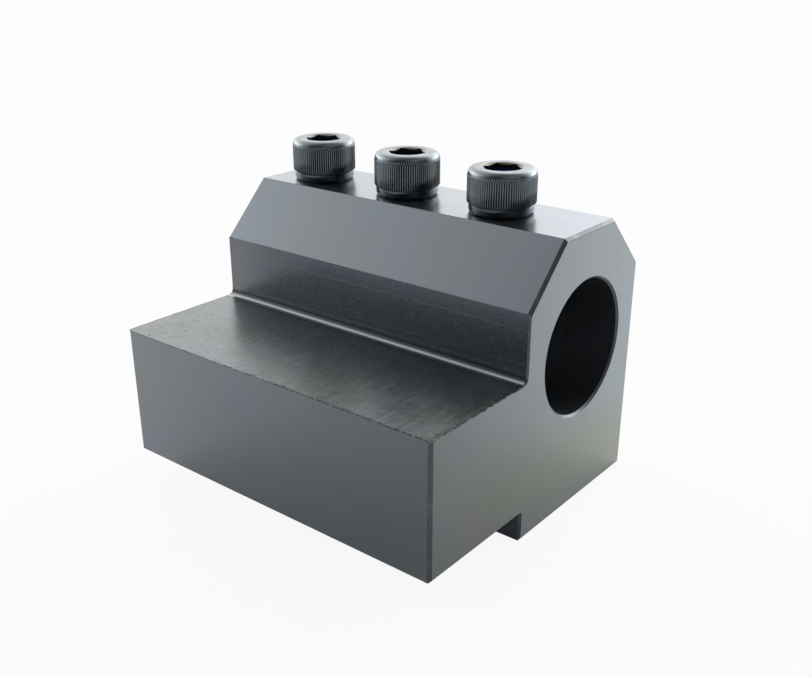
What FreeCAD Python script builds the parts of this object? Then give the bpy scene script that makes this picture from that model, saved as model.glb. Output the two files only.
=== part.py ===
import FreeCAD, Part
import os
import Sketcher

# Boring bar holder, millimetres. X runs along the bore towards the front end,
# Y from the shank side to the plain side, Z up. The origin is under the middle
# of the holder, on the plane that the bore block stands on.

SIZES = {
    "holder_length": 91,
    "shank_width": 33,
    "shank_height": 31.75,
    "block_width": 47,
    "block_height": 67.25,
    "block_drop": 7,
    "roof_bevel": 13,
    "bore_diameter": 32,
    "bore_height": 39.5,
    "mouth_bevel": 0.5,
    "root_radius": 1.5,
    "step_radius": 0.8,
    "edge_bevel": 0.65,
    "foot_bevel": 0.5,
    "wall_bevel": 0.4,
    "screw_margin": 23.5,
    "screw_pitch": 27.5,
    "thread_diameter": 10,
    "thread_gap": 0.05,
    "hole_bevel": 0.8,
    "screw_length": 12,
    "screw_lift": 0.4,
    "tip_bevel": 1,
    "head_diameter": 16,
    "head_height": 9.8,
    "rim_radius": 1.4,
    "grip_bevel": 0.6,
    "collar_height": 1.6,
    "key_width": 8,
    "key_depth": 5.5,
    "key_bevel": 0.5,
    "front_key_turn": 40,
    "middle_key_turn": 35,
    "rear_key_turn": 30,
}

# The clamp screws from the front end backwards, with the size that turns each key socket.
SCREWS = [
    ("clamp_screw_front", "front_key_turn"),
    ("clamp_screw_middle", "middle_key_turn"),
    ("clamp_screw_rear", "rear_key_turn"),
]

HEX_SIDES = 6
FULL_TURN = 360
SQUARE_CONE = 90
TOLERANCE = 0.001

doc = FreeCAD.newDocument("boring_bar_holder")


def make_sheet():
    """Write every driving dimension into the document's sheet, one cell each."""
    sheet = doc.addObject("Spreadsheet::Sheet", "Sizes")
    for row, (alias, number) in enumerate(SIZES.items(), start=1):
        sheet.set(f"A{row}", alias)
        sheet.set(f"B{row}", str(number))
        sheet.setAlias(f"B{row}", alias)
    doc.recompute()
    return sheet


sheet = make_sheet()


def size(alias):
    return float(sheet.get(alias))


def new_body(name):
    body = doc.addObject("PartDesign::Body", name)
    body.Label = name
    return body


def origin_item(body, role):
    """A plane or an axis of the body's own origin."""
    return next(item for item in body.Origin.OriginFeatures if item.Role == role)


def new_sketch(body, name, role, height=None):
    """A sketch on one of the body's origin planes, raised along its normal by an expression."""
    sketch = body.newObject("Sketcher::SketchObject", name)
    sketch.AttachmentSupport = [(origin_item(body, role), "")]
    sketch.MapMode = "FlatFace"
    if height:
        sketch.setExpression("AttachmentOffset.Base.z", height)
    return sketch


def draw_outline(sketch, corners):
    """Draw a closed outline whose corners are pairs of expressions of the sheet's sizes."""
    points = [
        FreeCAD.Vector(*(sketch.evalExpression(text) for text in corner), 0) for corner in corners
    ]
    count = len(points)
    for index, point in enumerate(points):
        sketch.addGeometry(Part.LineSegment(point, points[(index + 1) % count]), False)
    for index, (across, up) in enumerate(corners):
        following = (index + 1) % count
        sketch.addConstraint(Sketcher.Constraint("Coincident", index, 2, following, 1))
        place_point(sketch, index, 1, across, up)


def draw_circle(sketch, across, up, radius):
    """Draw a circle whose centre and radius are expressions of the sheet's sizes."""
    values = [sketch.evalExpression(text) for text in (across, up, radius)]
    centre = FreeCAD.Vector(values[0], values[1], 0)
    circle = Part.Circle(centre, FreeCAD.Vector(0, 0, 1), values[2])
    number = sketch.addGeometry(circle, False)
    place_point(sketch, number, 3, across, up)
    ring = sketch.addConstraint(Sketcher.Constraint("Radius", number, values[2]))
    sketch.setExpression(f"Constraints[{ring}]", radius)


def place_point(sketch, number, end, across, up):
    """Hold one point of the sketch at two expressions, measured from the sketch's origin."""
    for kind, text in (("DistanceX", across), ("DistanceY", up)):
        value = sketch.evalExpression(text)
        held = sketch.addConstraint(Sketcher.Constraint(kind, -1, 1, number, end, value))
        sketch.setExpression(f"Constraints[{held}]", text)


def finish_feature(body, feature):
    body.Tip = feature
    doc.recompute()


def cut(body, feature):
    """Finish a feature that removes material, and make sure that it has removed some."""
    before = body.Shape.Volume
    finish_feature(body, feature)
    if not body.Shape.Volume < before:
        raise RuntimeError(f"{feature.Name} removes nothing")


def edges_where(feature, wanted):
    """Names of the feature's edges that pass a test of the edge and its middle point."""
    names = []
    for number, edge in enumerate(feature.Shape.Edges, start=1):
        middle = edge.valueAt((edge.FirstParameter + edge.LastParameter) / 2)
        if wanted(edge, middle):
            names.append(f"Edge{number}")
    return names


def near(first, second):
    return abs(first - second) < TOLERANCE


def make_holder():
    """The holder: a shank ledge and a bore block in one piece, with its bore and tapped holes."""
    body = new_body("holder_body")
    front = "-(Sizes.shank_width + Sizes.block_width) / 2"
    wall = "(Sizes.shank_width - Sizes.block_width) / 2"
    back = "(Sizes.shank_width + Sizes.block_width) / 2"
    ledge = "Sizes.block_drop + Sizes.shank_height"
    eave = "Sizes.block_height - Sizes.roof_bevel"
    bore_place = "Sizes.shank_width / 2"

    section = new_sketch(body, "cross_section", "YZ_Plane")
    draw_outline(section, [
        (front, "Sizes.block_drop"),
        (front, ledge),
        (wall, ledge),
        (wall, eave),
        (f"{wall} + Sizes.roof_bevel", "Sizes.block_height"),
        (f"{back} - Sizes.roof_bevel", "Sizes.block_height"),
        (back, eave),
        (back, "0"),
        (wall, "0"),
        (wall, "Sizes.block_drop"),
    ])
    bar = body.newObject("PartDesign::Pad", "profiled_bar")
    bar.Profile = section
    bar.SideType = "Symmetric"
    bar.setExpression("Length", "Sizes.holder_length")
    finish_feature(body, bar)

    bore_circle = new_sketch(body, "bore_circle", "YZ_Plane")
    draw_circle(bore_circle, bore_place, "Sizes.bore_height", "Sizes.bore_diameter / 2")
    bore = body.newObject("PartDesign::Pocket", "bar_bore")
    bore.Profile = bore_circle
    bore.SideType = "Symmetric"
    bore.Type = "ThroughAll"
    cut(body, bore)

    mouths = body.newObject("PartDesign::Chamfer", "bore_mouths")
    mouths.Base = (bore, edges_where(bore, lambda edge, middle: edge.Closed))
    mouths.setExpression("Size", "Sizes.mouth_bevel")
    cut(body, mouths)

    step_root = body.newObject("PartDesign::Fillet", "step_root")
    step_root.Base = (mouths, edges_where(mouths, is_step_root))
    step_root.setExpression("Radius", "Sizes.step_radius")
    finish_feature(body, step_root)

    last = step_root
    for name, is_broken, bevel in END_EDGE_BREAKS:
        breaks = body.newObject("PartDesign::Chamfer", name)
        breaks.Base = (last, edges_where(last, is_broken))
        breaks.setExpression("Size", f"Sizes.{bevel}")
        cut(body, breaks)
        last = breaks

    shank_root = body.newObject("PartDesign::Fillet", "shank_root")
    shank_root.Base = (last, edges_where(last, is_shank_root))
    shank_root.setExpression("Radius", "Sizes.root_radius")
    finish_feature(body, shank_root)

    drill_screw_holes(body)
    return body


def lies_in_end_face(edge, middle):
    at_an_end = near(abs(middle.x), size("holder_length") / 2)
    return at_an_end and near(edge.BoundBox.XLength, 0) and not edge.Closed


def is_foot_end_edge(edge, middle):
    """True for the end-face edges below the shank: its underside, the step and the block's foot."""
    return lies_in_end_face(edge, middle) and edge.BoundBox.ZMax < size("block_drop") + TOLERANCE


def is_wall_end_edge(edge, middle):
    """True for the upright end-face edges of the bore block's wall, above the shank."""
    wall = (size("shank_width") - size("block_width")) / 2
    is_upright = near(edge.BoundBox.YLength, 0)
    is_above = middle.z > size("block_drop")
    return lies_in_end_face(edge, middle) and is_upright and is_above and near(middle.y, wall)


def is_outer_end_edge(edge, middle):
    """True for the end-face edges that have the wide bevel: the roof, the back and the shank's front."""
    has_own_bevel = is_wall_end_edge(edge, middle) or is_foot_end_edge(edge, middle)
    if has_own_bevel or not lies_in_end_face(edge, middle):
        return False
    is_level = near(edge.BoundBox.ZLength, 0)
    return not is_level or near(middle.z, size("block_height"))


END_EDGE_BREAKS = [
    ("outer_edge_breaks", is_outer_end_edge, "edge_bevel"),
    ("foot_edge_breaks", is_foot_end_edge, "foot_bevel"),
    ("wall_edge_breaks", is_wall_end_edge, "wall_bevel"),
]


def is_step_root(edge, middle):
    """True for the inner corner between the shank's underside and the bore block's wall."""
    wall = (size("shank_width") - size("block_width")) / 2
    return near(middle.y, wall) and near(middle.z, size("block_drop")) and near(middle.x, 0)


def is_shank_root(edge, middle):
    """True for the inner corner where the bore block's wall rises from the shank's top."""
    wall = (size("shank_width") - size("block_width")) / 2
    ledge = size("block_drop") + size("shank_height")
    return near(middle.y, wall) and near(middle.z, ledge) and near(middle.x, 0)


def drill_screw_holes(body):
    """A row of clamp screw holes, from the top face into the bore."""
    place = new_sketch(body, "front_hole_place", "XY_Plane", "Sizes.block_height")
    hole_x = "Sizes.holder_length / 2 - Sizes.screw_margin"
    draw_circle(place, hole_x, "Sizes.shank_width / 2", "Sizes.thread_diameter / 2")
    doc.recompute()
    hole = body.newObject("PartDesign::Hole", "front_screw_hole")
    hole.Profile = place
    doc.recompute()
    hole.DepthType = "Dimension"
    hole.DrillPoint = "Flat"
    hole.HoleCutType = "Countersink"
    hole.HoleCutCountersinkAngle = SQUARE_CONE
    hole.setExpression("Diameter", "Sizes.thread_diameter + 2 * Sizes.thread_gap")
    hole.setExpression("Depth", "Sizes.block_height - Sizes.bore_height")
    hole.setExpression("HoleCutDiameter", "Sizes.thread_diameter + 2 * Sizes.hole_bevel")
    cut(body, hole)

    row = body.newObject("PartDesign::LinearPattern", "screw_hole_row")
    row.Originals = [hole]
    row.Direction = (place, ["H_Axis"])
    row.Reversed = True
    row.Occurrences = len(SCREWS)
    row.setExpression("Length", f"Sizes.screw_pitch * {len(SCREWS) - 1}")
    cut(body, row)


def make_screw(name, place, turn):
    """A cap screw with a round head and a key socket, standing in the hole with this number."""
    body = new_body(name)
    thread = "Sizes.thread_diameter / 2"
    head = "Sizes.head_diameter / 2"
    collar = f"{head} - Sizes.grip_bevel"
    top = "Sizes.head_height"

    half_section = new_sketch(body, f"{name}_half_section", "XZ_Plane")
    draw_outline(half_section, [
        ("0", "-Sizes.screw_length"),
        (f"{thread} - Sizes.tip_bevel", "-Sizes.screw_length"),
        (thread, "-Sizes.screw_length + Sizes.tip_bevel"),
        (thread, "0"),
        (collar, "0"),
        (collar, "Sizes.collar_height"),
        (head, "Sizes.collar_height + Sizes.grip_bevel"),
        (head, top),
        ("0", top),
    ])
    blank = body.newObject("PartDesign::Revolution", f"{name}_turned_blank")
    blank.Profile = half_section
    blank.ReferenceAxis = (half_section, ["V_Axis"])
    blank.Angle = FULL_TURN
    finish_feature(body, blank)

    rim = body.newObject("PartDesign::Fillet", f"{name}_rounded_rim")
    rim.Base = (blank, edges_where(blank, is_head_rim))
    rim.setExpression("Radius", "Sizes.rim_radius")
    cut(body, rim)

    hexagon = new_sketch(body, f"{name}_key_hexagon", "XY_Plane", top)
    corner = f"Sizes.key_width / (2 * cos({FULL_TURN / HEX_SIDES / 2}))"
    angles = [f"(Sizes.{turn} + {FULL_TURN // HEX_SIDES * side})" for side in range(HEX_SIDES)]
    draw_outline(hexagon, [(f"{corner} * cos{angle}", f"{corner} * sin{angle}") for angle in angles])
    socket = body.newObject("PartDesign::Pocket", f"{name}_key_socket")
    socket.Profile = hexagon
    socket.setExpression("Length", "Sizes.key_depth")
    cut(body, socket)

    turned_socket = new_sketch(body, f"{name}_socket_turning", "XZ_Plane")
    draw_outline(turned_socket, [
        ("0", top),
        (f"{corner} + Sizes.key_bevel / 2", top),
        (f"{corner} - Sizes.key_bevel / 2", f"{top} - Sizes.key_bevel"),
        ("0", f"{top} - Sizes.key_bevel"),
    ])
    mouth = body.newObject("PartDesign::Groove", f"{name}_socket_mouth")
    mouth.Profile = turned_socket
    mouth.ReferenceAxis = (turned_socket, ["V_Axis"])
    mouth.Angle = FULL_TURN
    cut(body, mouth)

    hole_x = f"Sizes.holder_length / 2 - Sizes.screw_margin - {place} * Sizes.screw_pitch"
    body.setExpression("Placement.Base.x", hole_x)
    body.setExpression("Placement.Base.y", "Sizes.shank_width / 2")
    body.setExpression("Placement.Base.z", "Sizes.block_height + Sizes.screw_lift")
    return body


def is_head_rim(edge, middle):
    """True for the outer top edge of a screw's head, in the screw's own place."""
    is_round = hasattr(edge.Curve, "Radius") and near(edge.Curve.Radius, size("head_diameter") / 2)
    return is_round and near(middle.z, size("head_height"))


sub_parts = [make_holder()]
for place, (name, turn) in enumerate(SCREWS):
    sub_parts.append(make_screw(name, place, turn))
doc.recompute()

for item in doc.Objects:
    if "Invalid" in item.State or "Error" in item.State:
        raise RuntimeError(f"{item.Label} did not build: {item.State}")
for body in sub_parts:
    if body.Shape.isNull() or not body.Shape.isValid() or len(body.Shape.Solids) != 1:
        raise RuntimeError(f"{body.Label} is not one sound solid")

os.makedirs("parts", exist_ok=True)
for body in sub_parts:
    body.Shape.exportStep(f"parts/{body.Label}.step")
    print(body.Label, round(body.Shape.Volume, 2), "cubic mm")
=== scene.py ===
import bmesh
import bpy
import math
import random
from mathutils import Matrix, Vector, noise


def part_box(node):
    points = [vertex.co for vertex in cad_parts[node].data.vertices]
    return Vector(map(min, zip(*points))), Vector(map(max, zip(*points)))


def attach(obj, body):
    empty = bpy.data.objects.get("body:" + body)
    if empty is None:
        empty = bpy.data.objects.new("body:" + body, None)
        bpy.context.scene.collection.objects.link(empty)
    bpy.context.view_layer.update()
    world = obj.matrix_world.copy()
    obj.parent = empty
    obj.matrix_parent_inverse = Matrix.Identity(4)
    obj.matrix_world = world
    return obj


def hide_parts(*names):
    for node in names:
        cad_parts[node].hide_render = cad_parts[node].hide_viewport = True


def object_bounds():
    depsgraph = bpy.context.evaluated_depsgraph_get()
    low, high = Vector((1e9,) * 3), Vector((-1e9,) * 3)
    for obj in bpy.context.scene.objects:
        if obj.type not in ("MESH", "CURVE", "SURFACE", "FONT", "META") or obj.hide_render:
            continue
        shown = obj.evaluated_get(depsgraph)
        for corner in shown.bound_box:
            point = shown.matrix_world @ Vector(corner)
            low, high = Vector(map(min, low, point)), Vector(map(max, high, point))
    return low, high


# Boring bar holder, metres. Sizes are given in millimetres and turned into metres by MM.
MM = 0.001

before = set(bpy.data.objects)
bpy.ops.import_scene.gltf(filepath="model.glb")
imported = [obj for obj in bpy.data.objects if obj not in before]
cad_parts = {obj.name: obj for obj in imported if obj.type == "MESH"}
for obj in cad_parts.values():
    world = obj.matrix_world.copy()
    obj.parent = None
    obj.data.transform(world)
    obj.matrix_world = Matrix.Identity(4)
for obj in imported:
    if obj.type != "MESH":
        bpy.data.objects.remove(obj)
cad_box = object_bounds()

# The holder's section, from its CAD box and the sizes that the box doesn't give.
HOLDER_LOW, HOLDER_HIGH = (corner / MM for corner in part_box("holder_body"))
HALF_LENGTH = HOLDER_HIGH.x
SHANK_FRONT = HOLDER_LOW.y
BACK = HOLDER_HIGH.y
ROOF = HOLDER_HIGH.z
SHANK_WIDTH = 33.0
SHANK_HEIGHT = 31.75
BLOCK_DROP = 7.0
ROOF_BEVEL = 13.0
WALL = SHANK_FRONT + SHANK_WIDTH
LEDGE = BLOCK_DROP + SHANK_HEIGHT
EAVE = ROOF - ROOF_BEVEL
BORE_Y = (WALL + BACK) / 2
BORE_Z = 39.5
BORE_RADIUS = 16.0
MOUTH_BEVEL = 0.5
WIDE_BEVEL = 0.65
WALL_BEVEL = 0.4
FOOT_BEVEL = 0.5
ROOT_RADIUS = 1.5
STEP_RADIUS = 0.8
EDGE_ROUNDING = 0.1
# The low step that the finishing cutter left along the wall, just above the ledge.
PASS_HEIGHT = 2.3
PASS_STEP = 0.07
PASS_ROUNDING = 0.02

# The tapped holes.
HOLE_RADIUS = 5.05
HOLE_MOUTH = 5.8
HOLE_GROOVE = 0.35

# The clamp screws: the CAD node of each, its key socket's turn in degrees, and how much olive
# hue its socket's mouth has and how much painted blue reflection its socket's walls have.
SCREW_NODES = {
    "front_screw": ("clamp_screw_front", 21.0, 1.0),
    "middle_screw": ("clamp_screw_middle", 25.0, 0.3),
    "rear_screw": ("clamp_screw_rear", 31.0, 0.1),
}
HEAD_RADIUS = 8.0
HEAD_HEIGHT = 9.8
COLLAR_HEIGHT = 1.6
COLLAR_RADIUS = 7.55
RIM_RADIUS = 1.4
RIM_INSET = 0.12
KEY_WIDTH = 8.0
KEY_DEPTH = 5.5
KEY_MOUTH_RADIUS = 4.68
KEY_MOUTH_SLOPE = 0.55
THREAD_RADIUS = 5.0
THREAD_PITCH = 1.5
THREAD_DEPTH = 0.92
TIP_BEVEL = 1.0
KNURL_RIDGES = 90
KNURL_DEPTH = 0.27
# Half the width of a valley of the knurl, as a share of the spacing of the ridges.
KNURL_VALLEY = 0.32
STEPS_PER_RIDGE = 8

# Edges that turn by more degrees than this stay sharp.
HOLDER_SMOOTHING = 15
SCREW_SMOOTHING = 32


def mesh_object(name, points, faces):
    """A mesh object from points in millimetres, with its faces turned outwards."""
    mesh = bpy.data.meshes.new(name)
    mesh.from_pydata([(x * MM, y * MM, z * MM) for x, y, z in points], [], faces)
    mesh.validate()
    made = bpy.data.objects.new(name, mesh)
    bpy.context.scene.collection.objects.link(made)
    turned = bmesh.new()
    turned.from_mesh(mesh)
    bmesh.ops.recalc_face_normals(turned, faces=turned.faces)
    turned.to_mesh(mesh)
    turned.free()
    return made


def join_rings(rings):
    """Points and faces of a closed tube through rings that have as many points each."""
    count = len(rings[0])
    points = [point for ring in rings for point in ring]
    faces = []
    for row in range(len(rings) - 1):
        for place in range(count):
            following = (place + 1) % count
            low, high = row * count, (row + 1) * count
            faces.append((low + place, low + following, high + following, high + place))
    faces.append(tuple(reversed(range(count))))
    faces.append(tuple(range((len(rings) - 1) * count, len(rings) * count)))
    return points, faces


def smooth_below(piece, degrees):
    """Smooth shading, apart from edges that turn by more than this angle."""
    for face in piece.data.polygons:
        face.use_smooth = True
    piece.data.set_sharp_from_angle(angle=math.radians(degrees))


# The holder.

def line_crossing(first, second):
    """Where two lines of the section cross, each a point and a direction."""
    (ay, az), (au, av) = first
    (by, bz), (bu, bv) = second
    share = ((by - ay) * bv - (bz - az) * bu) / (au * bv - av * bu)
    return ay + share * au, az + share * av


def section_corners():
    """The section's corners in order, each with the end bevel of the side that follows it
    and the radius of the corner's own rounding."""
    low_wall = WALL - PASS_STEP
    pass_top = LEDGE + PASS_HEIGHT
    return [
        ((SHANK_FRONT, BLOCK_DROP), WIDE_BEVEL, EDGE_ROUNDING),
        ((SHANK_FRONT, LEDGE), 0.0, EDGE_ROUNDING),
        ((low_wall, LEDGE), WALL_BEVEL, ROOT_RADIUS),
        ((low_wall, pass_top), WALL_BEVEL, PASS_ROUNDING),
        ((WALL, pass_top), WALL_BEVEL, PASS_ROUNDING),
        ((WALL, EAVE), WIDE_BEVEL, EDGE_ROUNDING),
        ((WALL + ROOF_BEVEL, ROOF), WIDE_BEVEL, EDGE_ROUNDING),
        ((BACK - ROOF_BEVEL, ROOF), WIDE_BEVEL, EDGE_ROUNDING),
        ((BACK, EAVE), WIDE_BEVEL, EDGE_ROUNDING),
        ((BACK, 0.0), FOOT_BEVEL, EDGE_ROUNDING),
        ((WALL, 0.0), FOOT_BEVEL, EDGE_ROUNDING),
        ((WALL, BLOCK_DROP), FOOT_BEVEL, STEP_RADIUS),
    ]


def bevel_profile(bevel):
    """An end bevel with softened edges, as pairs: depth from the end face, and the side's inset."""
    soft = EDGE_ROUNDING
    if bevel:
        slant = soft / math.sqrt(2)
        turns = [
            ((bevel + soft, 0), (bevel, 0), (bevel - slant, slant)),
            ((slant, bevel - slant), (0, bevel), (0, bevel + soft)),
        ]
    else:
        middle = (soft * 0.3, soft * 0.3)
        turns = [((soft, 0), (soft * 0.55, 0), middle), (middle, (0, soft * 0.55), (0, soft))]
    pairs = []
    for start, control, end in turns:
        for share in (0.0, 0.5, 1.0):
            pairs.append(tuple(
                (1 - share) ** 2 * a + 2 * share * (1 - share) * b + share ** 2 * c
                for a, b, c in zip(start, control, end)
            ))
    return pairs


def section_ring(stage_number):
    """The section's rounded outline at one stage of the end bevel."""
    corners = section_corners()
    count = len(corners)
    pairs = [bevel_profile(bevel)[stage_number] for _, bevel, _ in corners]
    sides = []
    for index in range(count):
        (ay, az), (by, bz) = corners[index][0], corners[(index + 1) % count][0]
        length = math.hypot(by - ay, bz - az)
        u, v = (by - ay) / length, (bz - az) / length
        inset = pairs[index][1]
        sides.append(((ay + v * inset, az - u * inset), (u, v)))
    ring = []
    for index in range(count):
        before, after = sides[index - 1], sides[index]
        y, z = line_crossing(before, after)
        (in_y, in_z), (out_y, out_z) = before[1], after[1]
        radius = corners[index][2]
        steps = 10 if radius > EDGE_ROUNDING else 3
        turn = math.atan2(in_y * out_z - in_z * out_y, in_y * out_y + in_z * out_z)
        reach = radius * math.tan(abs(turn) / 2)
        start_y, start_z = y - in_y * reach, z - in_z * reach
        sideways = math.copysign(radius, turn)
        centre_y, centre_z = start_y - in_z * sideways, start_z + in_y * sideways
        arm_y, arm_z = start_y - centre_y, start_z - centre_z
        for step in range(steps + 1):
            share = step / steps
            angle = turn * share
            depth = (1 - share) * pairs[index - 1][0] + share * pairs[index][0]
            ring.append((
                HALF_LENGTH - depth,
                centre_y + arm_y * math.cos(angle) - arm_z * math.sin(angle),
                centre_z + arm_y * math.sin(angle) + arm_z * math.cos(angle),
            ))
    return ring


def bore_cutter():
    """The bore's cutter, which widens through the mouth bevels to beyond both end faces."""
    over = 2.0
    steps = 180
    wide = BORE_RADIUS + MOUTH_BEVEL + over
    inner = HALF_LENGTH - MOUTH_BEVEL
    angles = [2 * math.pi * step / steps for step in range(steps)]
    rings = [[(
        place, BORE_Y + radius * math.cos(angle), BORE_Z + radius * math.sin(angle),
    ) for angle in angles] for place, radius in (
        (-HALF_LENGTH - over, wide),
        (-inner, BORE_RADIUS),
        (inner, BORE_RADIUS),
        (HALF_LENGTH + over, wide),
    )]
    return mesh_object("bore_cutter", *join_rings(rings))


def hole_cutter(name, centre_x, phase):
    """A tapped hole's cutter: a mouth bevel, and helical grooves outside the screw's own radius."""
    over = 1.0
    steps = 48
    spacing = 0.25
    plain_neck = 0.3
    groove_half_width = 0.35
    below_crown = 3.0
    mouth_depth = HOLE_MOUTH - HOLE_RADIUS
    end = BORE_Z + BORE_RADIUS - below_crown
    rings = [
        [(HOLE_MOUTH + over, ROOF + over)] * steps,
        [(HOLE_RADIUS, ROOF - mouth_depth)] * steps,
    ]
    z = ROOF - mouth_depth - plain_neck
    while z > end:
        row = []
        for step in range(steps):
            turn = (z / THREAD_PITCH + step / steps + phase) % 1.0
            groove = HOLE_GROOVE * max(0.0, 1 - abs(turn - 0.5) / groove_half_width)
            row.append((HOLE_RADIUS + groove, z))
        rings.append(row)
        z -= spacing
    rings.append([(HOLE_RADIUS, z)] * steps)
    placed = [[(
        centre_x + radius * math.cos(2 * math.pi * step / steps),
        BORE_Y + radius * math.sin(2 * math.pi * step / steps),
        height,
    ) for step, (radius, height) in enumerate(row)] for row in rings]
    return mesh_object(name, *join_rings(placed))


def subtract(piece, cutters):
    """Cut the cutters out of the piece and remove them."""
    for cutter in cutters:
        modifier = piece.modifiers.new(cutter.name, "BOOLEAN")
        modifier.operation = "DIFFERENCE"
        modifier.solver = "EXACT"
        modifier.object = cutter
    graph = bpy.context.evaluated_depsgraph_get()
    cut_mesh = bpy.data.meshes.new_from_object(piece.evaluated_get(graph))
    piece.modifiers.clear()
    piece.data = cut_mesh
    for cutter in cutters:
        bpy.data.objects.remove(cutter)


def screw_centre(node):
    """The middle of a screw's CAD box, in millimetres."""
    low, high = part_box(node)
    return (low + high) / 2 / MM


def holder_blank():
    """The holder's bevelled section, with its bore and its tapped holes."""
    stages = len(bevel_profile(0.0))
    near_end = [section_ring(number) for number in range(stages)]
    far_end = [[(-x, y, z) for x, y, z in ring] for ring in reversed(near_end)]
    holder = mesh_object("holder", *join_rings(far_end + near_end))
    cutters = [bore_cutter()]
    phase_step = 0.3
    for number, (node, _, _) in enumerate(SCREW_NODES.values()):
        centre_x = screw_centre(node).x
        cutters.append(hole_cutter(f"hole_cutter_{number}", centre_x, number * phase_step))
    subtract(holder, cutters)
    return holder


def surface_of(face):
    """The name of the holder's surface that a face belongs to."""
    flat, straight, near = 0.999, 0.001, 0.1
    middle, normal = face.center / MM, face.normal
    from_bore = math.hypot(middle.y - BORE_Y, middle.z - BORE_Z)
    in_bore = from_bore < BORE_RADIUS + MOUTH_BEVEL and abs(normal.x) < 0.9
    in_hole = (
        abs(middle.y - BORE_Y) < HOLE_MOUTH and abs(middle.x) < HALF_LENGTH - 1
        and EAVE < middle.z < ROOF - 0.01 and abs(normal.x) < 0.99
    )
    if in_bore or in_hole:
        return "bored"
    if abs(normal.x) > flat:
        return "end"
    if normal.z > flat and abs(middle.z - LEDGE) < near:
        return "ledge"
    if normal.y < -flat and abs(middle.y - WALL) < near:
        return "wall"
    if normal.y < -flat and middle.y < SHANK_FRONT + near:
        return "shank"
    leans = sorted(abs(value) for value in normal)
    runs_along = abs(normal.x) < straight
    at_45_degrees = abs(leans[1] - leans[2]) < straight
    if leans[0] < straight and (leans[1] < straight or at_45_degrees and runs_along):
        return "long"
    by_root = abs(middle.z - LEDGE) < ROOT_RADIUS and middle.y > WALL - 2 * ROOT_RADIUS
    if by_root and normal.z > 0 and normal.y < 0 and runs_along:
        return "root"
    return "edge"


def make_holder(finishes):
    """The holder. The finishes are given for each surface that surface_of names."""
    holder = holder_blank()
    smooth_below(holder, HOLDER_SMOOTHING)
    steady = holder.modifiers.new("steady_shading", "WEIGHTED_NORMAL")
    steady.keep_sharp = True
    steady.weight = 100
    names = list(finishes)
    holder.data.materials.clear()
    for name in names:
        holder.data.materials.append(finishes[name])
    for face in holder.data.polygons:
        face.material_index = names.index(surface_of(face))
    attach(holder, "holder")
    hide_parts("holder_body")


# The screws.

def hexagon_radius(angle, turn):
    """How far the key socket's wall lies from the axis at an angle, both in radians."""
    sixth = math.pi / 3
    off = (angle - turn) % sixth - sixth / 2
    return KEY_WIDTH / 2 / math.cos(off)


def head_rings(turn):
    """Rings of a screw's head from the bearing face up over the rim and down into the socket."""
    steps = KNURL_RIDGES * STEPS_PER_RIDGE
    angles = [2 * math.pi * step / steps + turn for step in range(steps)]

    def plain(radius, height):
        return [(radius, height)] * steps

    def knurled(radius, height, strength):
        row = []
        for step in range(steps):
            share = step % STEPS_PER_RIDGE / STEPS_PER_RIDGE
            valley = max(0.0, 1 - abs(share - 0.5) / KNURL_VALLEY)
            row.append((radius - KNURL_DEPTH * strength * valley, height))
        return row

    groove = COLLAR_HEIGHT + 0.15
    band_foot = groove + 0.32
    band_top = HEAD_HEIGHT - RIM_RADIUS - 0.25
    rings = [
        plain(COLLAR_RADIUS - 0.35, 0.0),
        plain(COLLAR_RADIUS - 0.1, 0.05),
        plain(COLLAR_RADIUS, 0.25),
        plain(COLLAR_RADIUS + 0.02, COLLAR_HEIGHT - 0.12),
        plain(COLLAR_RADIUS - 0.08, COLLAR_HEIGHT),
        plain(COLLAR_RADIUS - 0.22, COLLAR_HEIGHT + 0.04),
        plain(COLLAR_RADIUS - 0.22, groove),
        knurled(COLLAR_RADIUS + 0.12, groove + 0.05, 0.3),
        knurled(COLLAR_RADIUS + 0.33, groove + 0.17, 0.8),
        knurled(HEAD_RADIUS, band_foot, 1.0),
        knurled(HEAD_RADIUS, (band_foot + band_top) / 2, 1.0),
        knurled(HEAD_RADIUS, band_top - 0.35, 1.0),
        knurled(HEAD_RADIUS - 0.01, band_top - 0.12, 0.9),
        knurled(HEAD_RADIUS - 0.08, band_top + 0.1, 0.25),
        plain(HEAD_RADIUS - RIM_INSET, band_top + 0.22),
    ]
    arc_steps = 9
    for step in range(1, arc_steps + 1):
        angle = math.pi / 2 * step / arc_steps
        rings.append(plain(
            HEAD_RADIUS - RIM_INSET - RIM_RADIUS * (1 - math.cos(angle)),
            HEAD_HEIGHT - RIM_RADIUS * (1 - math.sin(angle)) * 0.98,
        ))

    lip, sink = 0.12, 0.03
    walls = [hexagon_radius(angle, turn) for angle in angles]
    rings.append(plain(KEY_MOUTH_RADIUS + lip, HEAD_HEIGHT))
    rings.append(plain(KEY_MOUTH_RADIUS, HEAD_HEIGHT - sink))
    rings.append([
        (wall, HEAD_HEIGHT - sink - (KEY_MOUTH_RADIUS - wall) * KEY_MOUTH_SLOPE) for wall in walls
    ])
    for depth in (1.2, KEY_DEPTH * 0.6, KEY_DEPTH - 0.1):
        rings.append([(wall, HEAD_HEIGHT - depth) for wall in walls])
    rings.append([(wall - 0.1, HEAD_HEIGHT - KEY_DEPTH) for wall in walls])
    rings.append([(wall * 0.85, HEAD_HEIGHT - KEY_DEPTH - 0.05) for wall in walls])
    drill_point = 1.1
    rings.append(plain(0.4, HEAD_HEIGHT - KEY_DEPTH - drill_point))
    return [
        [(radius * math.cos(angle), radius * math.sin(angle), height)
         for (radius, height), angle in zip(row, angles)]
        for row in rings
    ]


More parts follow.
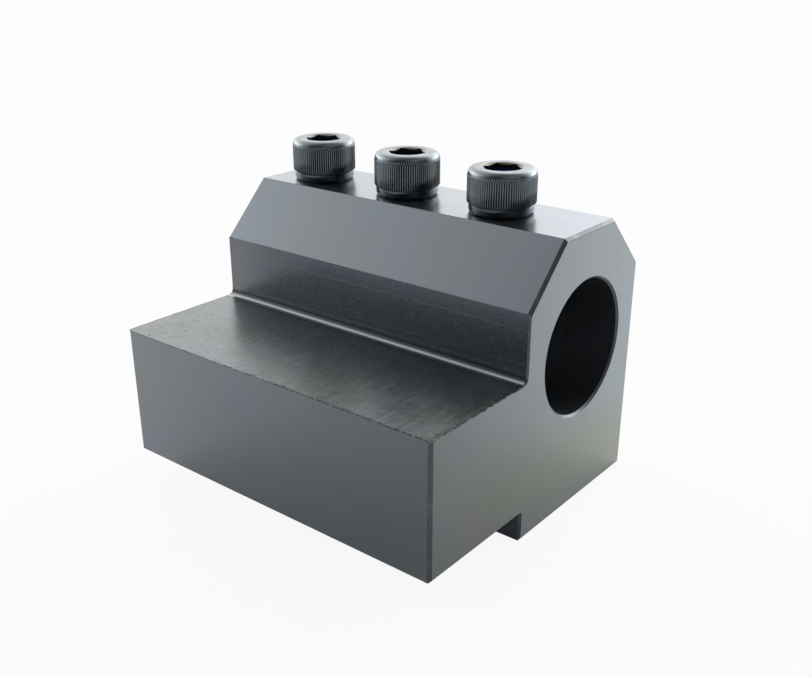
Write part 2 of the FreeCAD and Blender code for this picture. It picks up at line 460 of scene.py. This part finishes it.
def shank_rings(length):
    """Rings of the threaded shank, from the bevelled tip up to the bearing face."""
    steps = 48
    spacing = 0.1
    crest, flank = 0.06, 0.34
    neck_start, neck_length = 0.3, 0.5
    rings = []
    for row in range(int(length / spacing) + 1):
        z = -length + row * spacing
        tip = THREAD_RADIUS - TIP_BEVEL + (z + length)
        neck_cut = THREAD_DEPTH * max(0.0, min(1.0, (-z - neck_start) / neck_length))
        ring = []
        for step in range(steps):
            angle = 2 * math.pi * step / steps
            turn = (z / THREAD_PITCH - step / steps) % 1.0
            cut = THREAD_DEPTH * min(1.0, max(0.0, (0.5 - abs(turn - 0.5)) - crest) / flank)
            radius = min(THREAD_RADIUS - cut, tip)
            if z > -1.0:
                radius = max(radius, min(THREAD_RADIUS - neck_cut, tip))
            ring.append((radius * math.cos(angle), radius * math.sin(angle), z))
        rings.append(ring)
    return rings


def make_screw(body, node, turn_degrees, finishes):
    """A clamp screw. The finishes are those of its plain faces, of its key socket, and of its
    collar and the knurl's valleys, which stay dark: painted shade on the collar, and dirt with
    painted shade in the valleys."""
    centre = screw_centre(node)
    low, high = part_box(node)
    bearing = high.z / MM - HEAD_HEIGHT
    length = bearing - low.z / MM
    points, faces = join_rings(head_rings(math.radians(turn_degrees)))
    head_count = len(points)
    shank_points, shank_faces = join_rings(shank_rings(length))
    faces += [tuple(place + head_count for place in face) for face in shank_faces]
    points += shank_points
    placed = [(x + centre.x, y + centre.y, z + bearing) for x, y, z in points]
    screw = mesh_object(node.replace("clamp_screw", "cap_screw"), placed, faces)
    smooth_below(screw, SCREW_SMOOTHING)
    for finish in finishes:
        screw.data.materials.append(finish)
    socket_index, dark_index = 1, 2
    valley_top = HEAD_RADIUS - 0.5 * KNURL_DEPTH
    for face in screw.data.polygons:
        middle = face.center / MM
        height = middle.z - bearing
        from_axis = math.hypot(middle.x - centre.x, middle.y - centre.y)
        if 1 < height < HEAD_HEIGHT - 0.1 and from_axis < KEY_WIDTH / 2 + 0.75:
            face.material_index = socket_index
        # The collar's dark finish is painted shade; in the knurl's valleys it is dirt and painted
        # shade.
        on_collar = -0.1 < height < COLLAR_HEIGHT + 0.2
        on_knurl = COLLAR_HEIGHT + 0.6 < height < HEAD_HEIGHT - RIM_RADIUS - 0.3
        if on_collar or on_knurl and HEAD_RADIUS - 1 < from_axis < valley_top:
            face.material_index = dark_index
    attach(screw, body)
    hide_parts(node)


# The worn milled edges.

def edge_burr(name, start, end, first_side, second_side, sizes, seed, finish):
    """A torn lip along an edge between two faces, with its size in millimetres at both ends.

    The sides point along each face, away from the edge.
    """
    maker = random.Random(seed)
    spacing = 0.22
    buried = 0.03
    start, end = Vector(start), Vector(end)
    along = (end - start).normalized()
    length = (end - start).length
    count = int(length / spacing)
    first, second = Vector(first_side), Vector(second_side)
    rings = []
    for station in range(count + 1):
        share = station / count
        size = sizes[0] * (1 - share) + sizes[1] * share
        place = start + along * (length * share)
        wave = noise.noise(place * 0.35) * 0.5 + 0.5
        fray = max(0.0, noise.noise(place * 1.7 + Vector((seed, 0, 0)))) * 1.6
        tear = size * (0.25 + wave) * (0.3 + fray) * maker.uniform(0.6, 1.3)
        drop = size * (0.25 + wave) * maker.uniform(0.2, 1.0)
        width = size * (1.0 + 1.6 * wave) * maker.uniform(0.8, 1.4)
        fade = min(1.0, station / 3, (count - station) / 3)
        section = [
            (width, -buried),
            (width * 0.5, tear * 0.35 * fade),
            (0.04, tear * fade),
            (-drop * 0.5 * fade, drop * 0.1),
            (-drop * 0.7 * fade, -width * 0.35),
            (buried, -width * 0.8),
        ]
        rings.append([
            place + first * inward - second * upward for inward, upward in section
        ])
    burr = mesh_object(name, *join_rings(rings))
    burr.data.materials.append(finish)
    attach(burr, "holder")


def make_burrs(finish):
    """Torn lips along the ledge's front edge and along both of its ends."""
    inward, down = (0, 1, 0), (0, 0, -1)
    near, far = HALF_LENGTH, -HALF_LENGTH
    front_end, root_end = SHANK_FRONT + 0.7, WALL - ROOT_RADIUS
    edge_burr("ledge_front_burr", (far + 0.3, SHANK_FRONT, LEDGE), (near - 0.7, SHANK_FRONT, LEDGE),
              inward, down, (0.03, 0.11), 3, finish)
    edge_burr("ledge_near_burr", (near, front_end, LEDGE), (near, root_end, LEDGE),
              (-1, 0, 0), down, (0.09, 0.17), 8, finish)
    edge_burr("ledge_far_burr", (far, front_end, LEDGE), (far, root_end, LEDGE),
              (1, 0, 0), down, (0.03, 0.07), 15, finish)


# Shader nodes. Places are the object's own coordinates, in metres.

def add(tree, kind, inputs=None, **settings):
    """A new shader node. An input is a number, a colour or another node's output."""
    made = tree.nodes.new(kind)
    for name, value in settings.items():
        setattr(made, name, value)
    for key, value in (inputs or {}).items():
        if isinstance(value, bpy.types.NodeSocket):
            tree.links.new(value, made.inputs[key])
        else:
            made.inputs[key].default_value = value
    return made


def calculate(tree, operation, first, second=0.0):
    return add(tree, "ShaderNodeMath", {0: first, 1: second}, operation=operation).outputs[0]


def plus(tree, first, second):
    return calculate(tree, "ADD", first, second)


def minus(tree, first, second):
    return calculate(tree, "SUBTRACT", first, second)


def times(tree, first, second):
    return calculate(tree, "MULTIPLY", first, second)


def axes_of(tree, where):
    """The X, Y and Z of a place, each an output of its own."""
    return add(tree, "ShaderNodeSeparateXYZ", {"Vector": where}).outputs


def ramp(tree, value, low, high, at_low=0.0, at_high=1.0):
    """A smooth step from one number to another as a value goes from low to high."""
    return add(tree, "ShaderNodeMapRange", {
        "Value": value, "From Min": low, "From Max": high, "To Min": at_low, "To Max": at_high,
    }, interpolation_type="SMOOTHSTEP").outputs["Result"]


def grain(tree, coordinates, features, detail=3.0, shift=0.0):
    """Noise from 0 to 1 whose features have these sizes in millimetres along each axis."""
    scale = [1 / (size * MM) for size in features]
    placed = add(tree, "ShaderNodeMapping", {
        "Vector": coordinates, "Location": (shift, shift, shift), "Scale": scale,
    })
    made = add(tree, "ShaderNodeTexNoise", {
        "Vector": placed.outputs["Vector"], "Scale": 1.0, "Detail": detail, "Roughness": 0.6,
    })
    return made.outputs["Fac"]


def even_grain(tree, coordinates, size, detail, shift=0.0):
    """Noise whose features are as large along every axis."""
    return grain(tree, coordinates, (size, size, size), detail, shift)


def blend_colour(tree, share, first, second):
    """A mix of two colours, each a plain colour or another node's output."""
    made = tree.nodes.new("ShaderNodeMix")
    made.data_type = "RGBA"
    ends = [socket for socket in made.inputs if socket.type == "RGBA"]
    tree.links.new(share, made.inputs["Factor"])
    for socket, value in zip(ends, (first, second)):
        if isinstance(value, bpy.types.NodeSocket):
            tree.links.new(value, socket)
        else:
            socket.default_value = (*value, 1)
    return next(socket for socket in made.outputs if socket.type == "RGBA")


def tint(tree, tone, colour, value, low, high, most):
    """A tone with a share of a colour over it, from 0 to the most as a value goes up."""
    return blend_colour(tree, ramp(tree, value, low, high, 0.0, most), tone, colour)


def scaled(colour, share):
    return [share * channel for channel in colour]


def new_finish(name, metallic=1.0):
    """A metal with nothing but its shader, and the object's own coordinates to work from."""
    made = bpy.data.materials.new(name)
    made.use_nodes = True
    tree = made.node_tree
    shader = tree.nodes["Principled BSDF"]
    shader.inputs["Metallic"].default_value = metallic
    where = add(tree, "ShaderNodeTexCoord").outputs["Object"]
    return made, tree, shader, where


def complete(tree, shader, tone, rough, height, depth):
    """Set a finish's colour, roughness and bump, whose height of 1 is a depth in millimetres."""
    bump = add(tree, "ShaderNodeBump", {"Strength": 1.0, "Distance": depth * MM, "Height": height})
    tree.links.new(tone, shader.inputs["Base Color"])
    tree.links.new(rough, shader.inputs["Roughness"])
    tree.links.new(bump.outputs["Normal"], shader.inputs["Normal"])


# Finishes. A tone is a colour that later steps still change.

def ground_finish(name, base, lines, fade=None, stain=None):
    """Ground steel under black oxide: faint grinding lines and slow drifts of tone.

    A fade paints light: it names an axis, and gives two places along it in millimetres and the
    tone's share at each, so that a face is lighter at one end and darker at the other. A stain
    is a function that says how much of an olive hue lies at a place; the end face's is a
    painted reflection.
    """
    made, tree, shader, where = new_finish(name)
    red, green, blue = base
    cool, warm = (red * 0.97, green, blue * 1.04), (red * 1.02, green, blue * 0.98)
    olive = (red * 0.98, green * 0.965, blue * 0.82)
    drift = ramp(tree, even_grain(tree, where, 30, 2.0), 0.35, 0.65)
    patches = even_grain(tree, where, 9, 4.0, 3.0)
    fine = grain(tree, where, lines, 3.0, 7.0)
    tone = blend_colour(tree, drift, cool, warm)
    # The end face's olive stain is a painted reflection of the floor close by.
    if stain:
        tone = blend_colour(tree, stain(tree, where), tone, olive)
    tone = tint(tree, tone, scaled(base, 0.84), patches, 0.45, 0.8, 0.2)
    tone = tint(tree, tone, scaled(base, 1.25), fine, 0.55, 0.8, 0.09)
    # Painted light: the tone is scaled lighter towards one end of the face and darker towards the
    # other.
    if fade:
        axis, low, high, low_share, high_share = fade
        share = add(tree, "ShaderNodeMapRange", {
            "Value": axes_of(tree, where)[axis], "From Min": low * MM, "From Max": high * MM,
            "To Min": low_share, "To Max": high_share,
        }).outputs["Result"]
        tone = add(tree, "ShaderNodeVectorMath", {0: tone, "Scale": share}, operation="SCALE")
        tone = tone.outputs["Vector"]
    rough = ramp(tree, patches, 0.3, 0.7, 0.23, 0.26)
    rough = plus(tree, rough, ramp(tree, fine, 0.4, 0.7, 0.0, 0.02))
    complete(tree, shader, tone, rough, fine, 0.0006)
    return made


def painted_olive_reflection(tree, where):
    """How much olive lies at a place of an end face: a soft, level band low on the block, a painted
    reflection of the floor close by.
    """
    axes = axes_of(tree, where)
    tilt, middle, reach, waviness = 0.13, 12.0, 11.0, 14.0
    across = plus(tree, axes["Z"], times(tree, axes["Y"], tilt))
    waves = minus(tree, even_grain(tree, where, 24, 2.0, 5.0), 0.5)
    across = plus(tree, across, times(tree, waves, waviness * MM))
    off = calculate(tree, "DIVIDE", minus(tree, across, middle * MM), reach * MM)
    band = calculate(tree, "EXPONENT", times(tree, times(tree, off, off), -1.0))
    return times(tree, band, ramp(tree, axes["Y"], -36 * MM, -14 * MM))


def root_finish():
    """The root fillet: a painted highlight along its foot and painted shade above it, with fine
    lines along it.
    """
    made, tree, shader, where = new_finish("root_painted_highlight")
    # The foot's light tones are a painted highlight, and the dark oxide above them is painted
    # shade.
    painted_highlight, bright, oxide = (0.26, 0.28, 0.295), (0.4, 0.415, 0.42), (0.06, 0.066, 0.078)
    lines = grain(tree, where, (12, 0.12, 0.12), 2.0, 3.0)
    above_painted_highlight = ramp(tree, axes_of(tree, where)["Z"], (LEDGE + 0.3) * MM, (LEDGE + 0.75) * MM)
    tone = blend_colour(tree, ramp(tree, lines, 0.4, 0.7), painted_highlight, bright)
    tone = blend_colour(tree, above_painted_highlight, tone, oxide)
    complete(tree, shader, tone, ramp(tree, lines, 0.3, 0.7, 0.1, 0.15), lines, 0.001)
    return made


def cutter_sweeps(tree, where, feed, run, side):
    """Arcs that a wide face cutter leaves as it travels along X: fine across, long along them."""
    cutter_radius = 52 * MM
    path_y = (SHANK_FRONT + 8) * MM
    axes = axes_of(tree, where)
    across = minus(tree, axes["Y"], path_y)
    reach = calculate(tree, "SQRT", minus(tree, cutter_radius ** 2, times(tree, across, across)))
    travel = plus(tree, axes["X"], times(tree, reach, side))
    swept = add(tree, "ShaderNodeCombineXYZ", {"X": travel, "Y": across})
    return grain(tree, swept.outputs["Vector"], (feed, run, 5), 3.0, side * 2)


def nicks(tree, where, axes):
    """Chips along the ledge's worn edges, from 0 to 1: most at the near end, beside the wall."""
    end_width, front_width = 2.2 * MM, 0.9 * MM
    to_near = minus(tree, HALF_LENGTH * MM, axes["X"])
    to_front = minus(tree, axes["Y"], SHANK_FRONT * MM)
    towards_wall = ramp(tree, axes["Y"], SHANK_FRONT * MM, WALL * MM, 0.26, 0.44)
    towards_near = ramp(
        tree, axes["X"], -0.9 * HALF_LENGTH * MM, 0.8 * HALF_LENGTH * MM, 0.05, 0.5)
    end_band = times(tree, ramp(tree, to_near, 0.0, end_width, 1.0, 0.0), towards_wall)
    front_band = times(tree, ramp(tree, to_front, 0.0, front_width, 1.0, 0.0), towards_near)
    small_chips = even_grain(tree, where, 0.6, 2.0, 11.0)
    long_chips = grain(tree, where, (1.5, 0.7, 0.7), 1.0, 4.0)
    chips = calculate(tree, "MAXIMUM", small_chips, long_chips)
    band = calculate(tree, "MAXIMUM", end_band, front_band)
    return ramp(tree, plus(tree, chips, band), 0.7, 0.76)


def ledge_finish():
    """The milled clamping face: cutter sweeps, olive stains, dark clouds, and chipped edges."""
    made, tree, shader, where = new_finish("milled_ledge")
    oxide, olive, cloud = (0.152, 0.17, 0.177), (0.14, 0.148, 0.132), (0.095, 0.105, 0.1)
    swept, rubbed, pitted = (0.26, 0.28, 0.285), (0.28, 0.295, 0.295), (0.08, 0.088, 0.088)
    worn_corner = (0.3, 0.318, 0.325)
    chip_floor, chip_edge = (0.05, 0.055, 0.056), (0.26, 0.275, 0.28)
    axes = axes_of(tree, where)
    front_sweeps = cutter_sweeps(tree, where, 0.5, 9, 1)
    back_sweeps = cutter_sweeps(tree, where, 0.8, 12, -1)
    sweeps = calculate(tree, "MAXIMUM", front_sweeps, back_sweeps)
    stains = ramp(tree, grain(tree, where, (12, 6, 6), 3.0, 5.0), 0.4, 0.66)
    clouds = grain(tree, where, (3.5, 2.2, 2.2), 4.0, 19.0)
    streaks = grain(tree, where, (4.5, 0.3, 0.3), 3.0, 9.0)
    tone = blend_colour(tree, stains, oxide, olive)
    tone = tint(tree, tone, swept, sweeps, 0.5, 0.72, 0.45)
    tone = tint(tree, tone, cloud, clouds, 0.5, 0.7, 0.35)
    tone = tint(tree, tone, rubbed, streaks, 0.55, 0.72, 0.5)
    tone = tint(tree, tone, pitted, streaks, 0.45, 0.28, 0.6)
    by_near_end = ramp(tree, axes["X"], 30 * MM, 38 * MM)
    by_wall = ramp(tree, axes["Y"], -20 * MM, -11 * MM)
    worn = times(tree, times(tree, by_near_end, by_wall), 0.6)
    tone = blend_colour(tree, worn, tone, worn_corner)
    chips = nicks(tree, where, axes)
    flash = ramp(tree, even_grain(tree, where, 0.4, 1.0, 23.0), 0.52, 0.66)
    chip_tone = blend_colour(tree, flash, chip_floor, chip_edge)
    tone = blend_colour(tree, times(tree, chips, 0.85), tone, chip_tone)
    rough = plus(tree, ramp(tree, sweeps, 0.4, 0.7, 0.27, 0.34), times(tree, chips, 0.15))
    height = plus(tree, times(tree, sweeps, 0.5), times(tree, streaks, 0.25))
    height = plus(tree, height, times(tree, chips, -1.4))
    complete(tree, shader, tone, rough, height, 0.014)
    return made


def wall_finish():
    """The milled side wall: short level streaks, a few long lines from the cutter's passes, and
    painted light that makes its far end lighter.
    """
    made, tree, shader, where = new_finish("milled_wall")
    oxide, stain, far_end_painted_light = (0.127, 0.141, 0.17), (0.136, 0.142, 0.15), (0.21, 0.225, 0.235)
    rubbed, pitted, line = (0.28, 0.3, 0.33), (0.075, 0.082, 0.1), (0.27, 0.275, 0.285)
    streaks = grain(tree, where, (2.2, 1, 0.17), 3.0, 2.0)
    passes = grain(tree, where, (80, 5, 0.4), 1.0, 14.0)
    stains = ramp(tree, grain(tree, where, (18, 5, 5), 3.0, 17.0), 0.45, 0.75)
    # Painted light: the tone grows lighter towards the wall's far end.
    far_end = ramp(tree, axes_of(tree, where)["X"], -44 * MM, -26 * MM, 0.7, 0.0)
    tone = blend_colour(tree, stains, oxide, stain)
    tone = blend_colour(tree, far_end, tone, far_end_painted_light)
    tone = tint(tree, tone, rubbed, streaks, 0.56, 0.74, 0.65)
    tone = tint(tree, tone, pitted, streaks, 0.42, 0.25, 0.5)
    tone = tint(tree, tone, line, passes, 0.63, 0.72, 0.3)
    height = plus(tree, streaks, times(tree, passes, 0.8))
    complete(tree, shader, tone, ramp(tree, streaks, 0.35, 0.7, 0.24, 0.34), height, 0.01)
    return made


def bored_finish():
    """The bore and the tapped holes: dull oxide with fine rings round the bore's axis."""
    made, tree, shader, where = new_finish("bored_steel", 0.85)
    low_ring, high_ring = (0.105, 0.112, 0.131), (0.125, 0.133, 0.153)
    rings = grain(tree, where, (0.3, 12, 12), 2.0, 4.0)
    tone = blend_colour(tree, ramp(tree, rings, 0.4, 0.7), low_ring, high_ring)
    complete(tree, shader, tone, ramp(tree, rings, 0.3, 0.7, 0.36, 0.42), rings, 0.001)
    return made


def edge_finish():
    """Broken edges under dark oxide, rubbed here and there, with a few specks of bare steel."""
    made, tree, shader, where = new_finish("broken_edge")
    oxide, worn, bare = (0.088, 0.096, 0.108), (0.13, 0.138, 0.148), (0.3, 0.31, 0.32)
    specks = ramp(tree, even_grain(tree, where, 0.5, 3.0, 21.0), 0.64, 0.74)
    rubbed = ramp(tree, even_grain(tree, where, 6, 2.0, 27.0), 0.5, 0.75)
    tone = blend_colour(tree, rubbed, oxide, worn)
    tone = blend_colour(tree, times(tree, specks, 0.3), tone, bare)
    complete(tree, shader, tone, ramp(tree, specks, 0.0, 1.0, 0.22, 0.3), specks, 0.002)
    return made


def burr_finish():
    """Torn metal on the milled edges: dark oxide in the pits and rubbed steel on the tips."""
    made, tree, shader, where = new_finish("burred_edge")
    pit, tip = (0.05, 0.055, 0.06), (0.26, 0.275, 0.28)
    tips = ramp(tree, even_grain(tree, where, 0.5, 2.0, 31.0), 0.5, 0.66)
    tone = blend_colour(tree, tips, pit, tip)
    complete(tree, shader, tone, ramp(tree, tips, 0.0, 1.0, 0.5, 0.34), tips, 0.01)
    return made


def screw_finish(name, tone_share):
    """Forged and knurled alloy steel under blue-black oxide, rubbed on its specks, and lighter and
    rougher over its top.
    """
    made, tree, shader, where = new_finish(name)
    dull, bright = (0.145, 0.168, 0.184), (0.178, 0.204, 0.22)
    bare, top = (0.31, 0.335, 0.355), (0.228, 0.248, 0.258)
    patches = ramp(tree, even_grain(tree, where, 4, 4.0, 6.0), 0.35, 0.7)
    specks = ramp(tree, even_grain(tree, where, 0.4, 3.0, 12.0), 0.62, 0.76)
    lighter_rougher_top = ramp(
        tree, axes_of(tree, where)["Z"], cad_box[1].z - 1.5 * MM, cad_box[1].z - 0.2 * MM)
    tone = blend_colour(tree, patches, scaled(dull, tone_share), scaled(bright, tone_share))
    tone = blend_colour(tree, times(tree, specks, 0.4), tone, scaled(bare, tone_share))
    tone = blend_colour(tree, lighter_rougher_top, tone, top)
    rough = plus(tree, ramp(tree, patches, 0.0, 1.0, 0.2, 0.27), times(tree, lighter_rougher_top, 0.14))
    complete(tree, shader, tone, rough, even_grain(tree, where, 0.5, 3.0, 18.0), 0.008)
    return made


def socket_finish(name, straw_and_painted_blue):
    """A key socket: an olive hue near its mouth, a painted blue reflection on its walls below, and
    painted shade that darkens it towards its floor.
    """
    made, tree, shader, where = new_finish(name)
    plain_mouth, olive_mouth = (0.17, 0.185, 0.2), (0.12, 0.12, 0.08)
    plain_wall, painted_blue_reflection = (0.07, 0.075, 0.095), (0.19, 0.19, 0.54)
    floor, streak = (0.055, 0.06, 0.075), (0.12, 0.125, 0.14)
    mouth = [straw_and_painted_blue * o + (1 - straw_and_painted_blue) * p for o, p in zip(olive_mouth, plain_mouth)]
    # The walls' blue is a painted reflection.
    wall = [straw_and_painted_blue * b + (1 - straw_and_painted_blue) * p for b, p in zip(painted_blue_reflection, plain_wall)]
    depth = minus(tree, cad_box[1].z, axes_of(tree, where)["Z"])
    streaks = ramp(tree, grain(tree, where, (0.5, 0.5, 4.0), 2.0, 8.0), 0.45, 0.7)
    tone = blend_colour(tree, ramp(tree, depth, 0.7 * MM, 2.0 * MM), mouth, wall)
    # Painted shade: the tone darkens towards the socket's floor.
    tone = blend_colour(tree, ramp(tree, depth, 2.8 * MM, 4.6 * MM), tone, floor)
    tone = blend_colour(tree, times(tree, streaks, 0.2), tone, streak)
    complete(tree, shader, tone, ramp(tree, streaks, 0.0, 1.0, 0.26, 0.34), streaks, 0.004)
    return made


lines_along, lines_across = (14, 0.35, 0.35), (0.35, 9, 0.35)
make_holder({
    "long": ground_finish("ground_long", (0.206, 0.227, 0.246), lines_along),
    # The shank's fade is a painted reflection: its front face is lighter at the far end and darker
    # at the near end.
    "shank": ground_finish(
        "ground_shank", (0.208, 0.229, 0.249), lines_along, ("X", -45, 45, 1.22, 0.85)),
    # The end face's fade is a painted reflection too: darker at the front, lighter at the back.
    "end": ground_finish(
        "ground_end", (0.305, 0.332, 0.345), lines_across, ("Y", -40, 40, 0.83, 1.4),
        painted_olive_reflection),
    "ledge": ledge_finish(),
    "wall": wall_finish(),
    "root": root_finish(),
    "bored": bored_finish(),
    "edge": edge_finish(),
})
make_burrs(burr_finish())

screw_oxide = screw_finish("screw_oxide", 1.0)
# A darker copy of the screw's finish: painted shade on the collar, dirt and painted shade in the
# knurl's valleys.
collar_shade_and_valley_dirt = screw_finish("collar_shade_and_valley_dirt", 0.66)
for body, (node, turn, straw_and_painted_blue) in SCREW_NODES.items():
    socket_tint_and_painted_light = socket_finish(f"socket_tint_and_painted_light_{body}", straw_and_painted_blue)
    make_screw(body, node, turn, (screw_oxide, socket_tint_and_painted_light, collar_shade_and_valley_dirt))


# The camera, fitted to the corners of the holder in the photograph: its place in millimetres,
# its turn in degrees, its focal length in millimetres, and its shift.
CAMERA_PLACE = (144.02, -169.95, 126.1)
CAMERA_TURN = (66.898, 0.134, 39.062)
CAMERA_LENS = 44.0305
CAMERA_SHIFT = (0.006217, 0.019967)

lens = bpy.data.cameras.new("camera")
lens.sensor_width = 36
lens.lens = CAMERA_LENS
lens.shift_x, lens.shift_y = CAMERA_SHIFT
camera = bpy.data.objects.new("camera", lens)
camera.location = [value * MM for value in CAMERA_PLACE]
camera.rotation_euler = [math.radians(value) for value in CAMERA_TURN]
bpy.context.scene.collection.objects.link(camera)
bpy.context.scene.camera = camera


# The studio: three rings of soft lights, each with its elevation in degrees, how narrow its
# lights are, and the strength at the middle of the light at each azimuth. Their edges fade.
STUDIO = [
    (10, 16, {0: 1.27, 30: 0.88, 60: 6.19, 270: 0.7, 300: 5.04, 330: 1.41}),
    (34, 14, {30: 3.42, 150: 0.38, 270: 0.54, 330: 1.06}),
    (58, 14, {120: 0.26, 300: 0.69}),
]
# How much of the white background rays see: reflected rays, and camera rays to the world and
# to the floor, whose own light and shadow make up the rest.
REFLECTED_SHARE = 0.08
WORLD_SHARE = 1.0
FLOOR_SHARE = 0.92
FLOOR_TONE = 0.82
FLOOR_SIZE = 8


def direction(azimuth, elevation):
    """A unit vector. Azimuth 0 points from the camera past the object, and grows to the right."""
    heading = math.radians(90 + CAMERA_TURN[2] - azimuth)
    rise = math.radians(elevation)
    return Vector((
        math.cos(heading) * math.cos(rise), math.sin(heading) * math.cos(rise), math.sin(rise)
    ))


def background_share(tree, camera_share):
    """How much of the white background a ray sees. Reflected rays see a little of it."""
    path = add(tree, "ShaderNodeLightPath").outputs
    seen = times(tree, path["Is Camera Ray"], camera_share)
    reflected = plus(tree, path["Is Glossy Ray"], path["Is Transmission Ray"])
    return plus(tree, seen, times(tree, reflected, REFLECTED_SHARE))


def soft_light(tree, where, azimuth, elevation, narrowness, strength):
    """The light that the world gives in one direction, fading smoothly around it."""
    towards = add(tree, "ShaderNodeVectorMath", {
        0: where, 1: direction(azimuth, elevation),
    }, operation="DOT_PRODUCT").outputs["Value"]
    off = times(tree, minus(tree, towards, 1.0), narrowness)
    return times(tree, calculate(tree, "EXPONENT", off), strength)


def make_world():
    """The studio's light and its white background."""
    world = bpy.data.worlds.new("studio")
    bpy.context.scene.world = world
    world.use_nodes = True
    tree = world.node_tree
    where = add(tree, "ShaderNodeTexCoord").outputs["Generated"]
    lights = [
        soft_light(tree, where, azimuth, elevation, narrowness, strength)
        for elevation, narrowness, ring in STUDIO
        for azimuth, strength in ring.items()
    ]
    total = lights[0]
    for light in lights[1:]:
        total = plus(tree, total, light)
    seen = add(tree, "ShaderNodeMapRange", {
        "Value": background_share(tree, WORLD_SHARE), "To Min": total, "To Max": 1.0,
    })
    background = tree.nodes["Background"]
    background.inputs["Color"].default_value = (1, 1, 1, 1)
    tree.links.new(seen.outputs["Result"], background.inputs["Strength"])


def make_floor():
    """A pale paper floor that keeps the holder's soft shadow."""
    bpy.ops.mesh.primitive_plane_add(size=FLOOR_SIZE, location=(0, 0, -0.05 * MM))
    floor = bpy.context.object
    floor.name = "floor"
    paper = bpy.data.materials.new("floor_paper")
    paper.use_nodes = True
    tree = paper.node_tree
    shader = tree.nodes["Principled BSDF"]
    shader.inputs["Base Color"].default_value = (FLOOR_TONE, FLOOR_TONE, FLOOR_TONE, 1)
    shader.inputs["Roughness"].default_value = 0.9
    glow = add(tree, "ShaderNodeEmission", {"Strength": 1.0})
    mix = add(tree, "ShaderNodeMixShader", {
        0: background_share(tree, FLOOR_SHARE), 1: shader.outputs[0], 2: glow.outputs[0],
    })
    tree.links.new(mix.outputs[0], tree.nodes["Material Output"].inputs["Surface"])
    floor.data.materials.append(paper)


make_floor()
make_world()
bpy.context.scene.view_settings.view_transform = "Standard"
